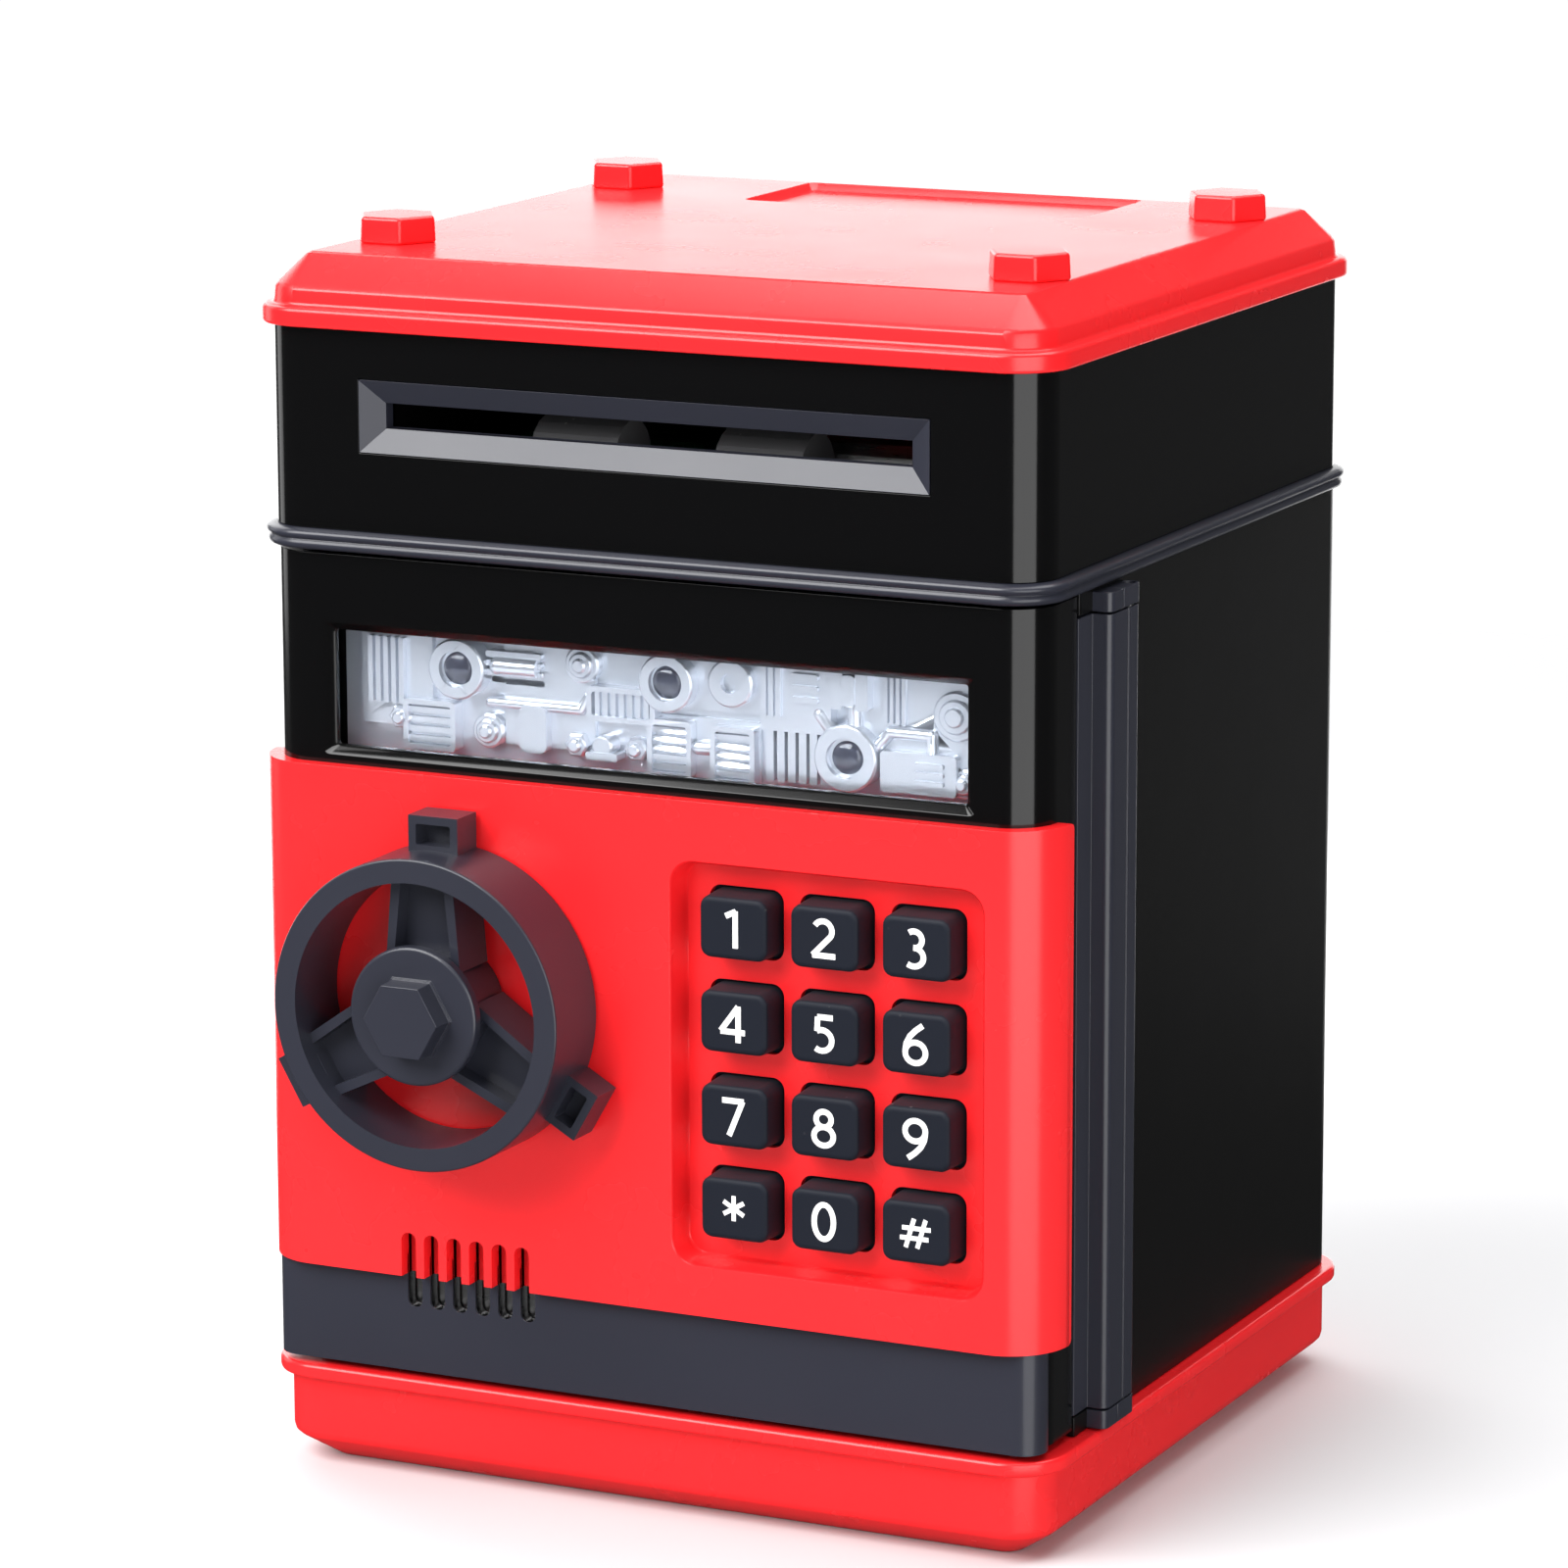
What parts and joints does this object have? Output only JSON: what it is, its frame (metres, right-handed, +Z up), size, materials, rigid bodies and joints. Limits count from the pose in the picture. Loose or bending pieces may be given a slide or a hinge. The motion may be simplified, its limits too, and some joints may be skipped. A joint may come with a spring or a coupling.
{
  "type": "toy safe coin bank",
  "caption": "Toy safe money box with a hinged front door, handle wheel, sprung keypad, banknote feed slot and a coin slot in the lid",
  "frame": {"origin": "centre of the overall box's footprint, on the surface that the base stands on", "axes": "+Z up, the front with door, keypad and wheel faces -Y, +X is the viewer's right, the hinge side"},
  "size_m": [0.1316, 0.1422, 0.19],
  "materials": {
    "red_plastic": "glossy moulded ABS in bright red",
    "black_plastic": "glossy moulded ABS in black",
    "slate_plastic": "satin moulded ABS in dark blue grey",
    "key_rubber": "matt silicone rubber in blue black with white printed digits",
    "clear_plastic": "clear polystyrene",
    "silver_plastic": "silver painted moulded ABS",
    "steel": "plain steel",
    "board_green": "green circuit board",
    "cell_jacket": "plain cell jacket",
    "white_plastic": "natural moulded acetal",
    "roller_rubber": "dark grey rubber",
    "lead_jacket": "red insulated twin lead"
  },
  "bodies": {
    "root": {"base": "red_plastic", "battery_box": "black_plastic", "battery_cover": "red_plastic", "battery_screw": "steel", "cell_1": "cell_jacket", "cell_2": "cell_jacket", "cell_3": "cell_jacket", "flat_contacts": "steel", "spring_contacts": "steel", "lower_body": "black_plastic", "belt_moulding": "black_plastic", "divider_deck": "black_plastic", "upper_housing": "black_plastic", "note_bezel": "slate_plastic", "top_lid": "red_plastic", "lid_bolt_front_left": "red_plastic", "lid_bolt_front_right": "red_plastic", "lid_bolt_rear_left": "red_plastic", "lid_bolt_rear_right": "red_plastic", "coin_chute": "white_plastic", "feed_frame": "white_plastic", "feed_motor": "steel", "main_board": "board_green", "power_lead": "lead_jacket", "hinge_pin": "steel"},
    "door": {"door_shell": "black_plastic", "door_panel": "red_plastic", "keypad_mat": "key_rubber", "keypad_board": "board_green", "window_lens": "clear_plastic", "relief_plate": "silver_plastic", "speaker": "steel", "lock_solenoid": "steel", "door_back_cover": "black_plastic", "cover_screw_bottom": "steel", "cover_screw_top": "steel", "hinge_leaf": "slate_plastic", "latch_guide": "black_plastic"},
    "wheel": {"handle_wheel": "black_plastic", "wheel_cap": "black_plastic", "wheel_shaft": "steel", "latch_pinion": "white_plastic"},
    "bolt": {"latch_bolt": "white_plastic"},
    "drive_roller": {"drive_roller": "roller_rubber", "roller_gear": "white_plastic"},
    "pinch_roller": {"pinch_roller": "roller_rubber"},
    "motor_pinion": {"motor_pinion": "white_plastic"},
    "key_1": {"key_1": "key_rubber"},
    "key_2": {"key_2": "key_rubber"},
    "key_3": {"key_3": "key_rubber"},
    "key_4": {"key_4": "key_rubber"},
    "key_5": {"key_5": "key_rubber"},
    "key_6": {"key_6": "key_rubber"},
    "key_7": {"key_7": "key_rubber"},
    "key_8": {"key_8": "key_rubber"},
    "key_9": {"key_9": "key_rubber"},
    "key_star": {"key_star": "key_rubber"},
    "key_0": {"key_0": "key_rubber"},
    "key_hash": {"key_hash": "key_rubber"}
  },
  "joints": [
    {"name": "door_swing", "type": "hinge", "parent": "root", "child": "door", "pos_m": [0.06444, -0.02327, 0.0792], "axis": [0, 0, 1], "range_deg": [0, 100]},
    {"name": "wheel_turn", "type": "hinge", "parent": "door", "child": "wheel", "pos_m": [-0.03056, -0.05416, 0.0769], "axis": [0, -1, 0], "range_deg": [0, 65]},
    {"name": "bolt_slide", "type": "slide", "parent": "door", "child": "bolt", "axis": [-1, 0, 0], "range_m": [0, 0.0058]},
    {"name": "drive_roller_spin", "type": "hinge", "parent": "root", "child": "drive_roller", "pos_m": [-0.00046, -0.03766, 0.1569], "axis": [1, 0, 0], "continuous": true},
    {"name": "pinch_roller_spin", "type": "hinge", "parent": "root", "child": "pinch_roller", "pos_m": [-0.00046, -0.03766, 0.1683], "axis": [1, 0, 0], "continuous": true},
    {"name": "motor_pinion_spin", "type": "hinge", "parent": "root", "child": "motor_pinion", "pos_m": [-0.00046, -0.02667, 0.1569], "axis": [1, 0, 0], "continuous": true},
    {"name": "key_1_press", "type": "slide", "parent": "door", "child": "key_1", "axis": [0, 1, 0], "range_m": [0, 0.0012], "stiffness_N_per_m": 300},
    {"name": "key_2_press", "type": "slide", "parent": "door", "child": "key_2", "axis": [0, 1, 0], "range_m": [0, 0.0012], "stiffness_N_per_m": 300},
    {"name": "key_3_press", "type": "slide", "parent": "door", "child": "key_3", "axis": [0, 1, 0], "range_m": [0, 0.0012], "stiffness_N_per_m": 300},
    {"name": "key_4_press", "type": "slide", "parent": "door", "child": "key_4", "axis": [0, 1, 0], "range_m": [0, 0.0012], "stiffness_N_per_m": 300},
    {"name": "key_5_press", "type": "slide", "parent": "door", "child": "key_5", "axis": [0, 1, 0], "range_m": [0, 0.0012], "stiffness_N_per_m": 300},
    {"name": "key_6_press", "type": "slide", "parent": "door", "child": "key_6", "axis": [0, 1, 0], "range_m": [0, 0.0012], "stiffness_N_per_m": 300},
    {"name": "key_7_press", "type": "slide", "parent": "door", "child": "key_7", "axis": [0, 1, 0], "range_m": [0, 0.0012], "stiffness_N_per_m": 300},
    {"name": "key_8_press", "type": "slide", "parent": "door", "child": "key_8", "axis": [0, 1, 0], "range_m": [0, 0.0012], "stiffness_N_per_m": 300},
    {"name": "key_9_press", "type": "slide", "parent": "door", "child": "key_9", "axis": [0, 1, 0], "range_m": [0, 0.0012], "stiffness_N_per_m": 300},
    {"name": "key_star_press", "type": "slide", "parent": "door", "child": "key_star", "axis": [0, 1, 0], "range_m": [0, 0.0012], "stiffness_N_per_m": 300},
    {"name": "key_0_press", "type": "slide", "parent": "door", "child": "key_0", "axis": [0, 1, 0], "range_m": [0, 0.0012], "stiffness_N_per_m": 300},
    {"name": "key_hash_press", "type": "slide", "parent": "door", "child": "key_hash", "axis": [0, 1, 0], "range_m": [0, 0.0012], "stiffness_N_per_m": 300}
  ],
  "couplings": [
    {"joint": "bolt_slide", "follows": "wheel_turn", "m_per_rad": 0.005},
    {"joint": "pinch_roller_spin", "follows": "drive_roller_spin", "ratio": -1.1765},
    {"joint": "motor_pinion_spin", "follows": "drive_roller_spin", "ratio": -2.6667}
  ]
}
